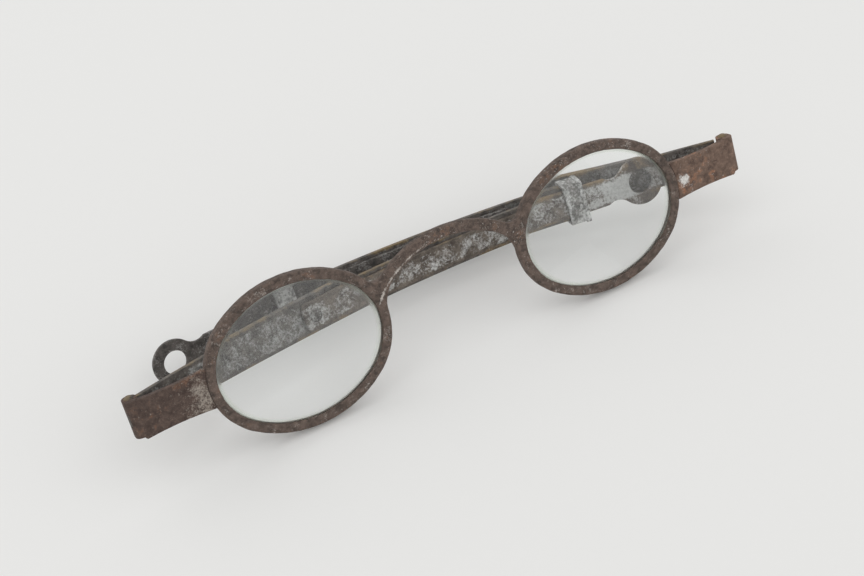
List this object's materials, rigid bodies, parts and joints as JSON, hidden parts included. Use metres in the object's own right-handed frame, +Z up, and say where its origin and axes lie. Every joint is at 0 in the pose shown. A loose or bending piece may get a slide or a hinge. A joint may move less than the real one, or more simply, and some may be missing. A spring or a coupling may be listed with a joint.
{
  "type": "extending spectacles",
  "caption": "Antique oval-lens spectacles in rusted iron: C bridge, rolled hinge eyes and bowed temples that draw out to ring tips, lying folded.",
  "frame": {"origin": "centre of the bounding box at the level of the ground on which the spectacles rest", "axes": "+X along the length of the front, towards its right-hand end as seen from the front; +Y back, from the front to the folded temples; +Z up, true gravity, in the resting pose of the picture"},
  "size_m": [0.1144, 0.0262, 0.0239],
  "materials": {
    "rusted_iron": "dark brown rusted iron with orange bloom and pale worn specks",
    "worn_iron": "brown iron worn bare along its edges",
    "mottled_tin": "mottled grey metal with dark pits and a rust line along the edges",
    "clear_glass": "clear old glass, faintly green"
  },
  "bodies": {
    "front": {"left_rim": "rusted_iron", "right_rim": "rusted_iron", "bridge": "rusted_iron", "left_end_piece": "rusted_iron", "right_end_piece": "rusted_iron", "left_lens": "clear_glass", "right_lens": "clear_glass", "left_hinge_pin": "worn_iron", "right_hinge_pin": "worn_iron"},
    "left_temple": {"left_arm": "worn_iron", "left_band": "rusted_iron"},
    "left_slide": {"left_slider": "mottled_tin", "left_stop_rivet": "worn_iron", "left_rivet_washer": "worn_iron"},
    "right_temple": {"right_arm": "worn_iron", "right_band": "rusted_iron"},
    "right_slide": {"right_slider": "mottled_tin", "right_stop_rivet": "worn_iron", "right_rivet_washer": "worn_iron"}
  },
  "joints": [
    {"name": "left_hinge", "type": "hinge", "parent": "front", "child": "left_temple", "pos_m": [-0.056, -0.0047, 0.01182], "axis": [0, 0.4794, 0.8776], "range_deg": [-1.9, 0]},
    {"name": "right_hinge", "type": "hinge", "parent": "front", "child": "right_temple", "pos_m": [0.056, -0.0047, 0.01182], "axis": [0, -0.4794, -0.8776], "range_deg": [0, 85.8]},
    {"name": "left_extension", "type": "hinge", "parent": "left_temple", "child": "left_slide", "pos_m": [0.00043, -0.14008, 0.08577], "axis": [0, -0.4794, -0.8776], "range_deg": [0, 1.4]},
    {"name": "right_extension", "type": "hinge", "parent": "right_temple", "child": "right_slide", "pos_m": [-0.01688, -0.13389, 0.08239], "axis": [0, 0.4794, 0.8776], "range_deg": [-2.08, 13.23]}
  ]
}
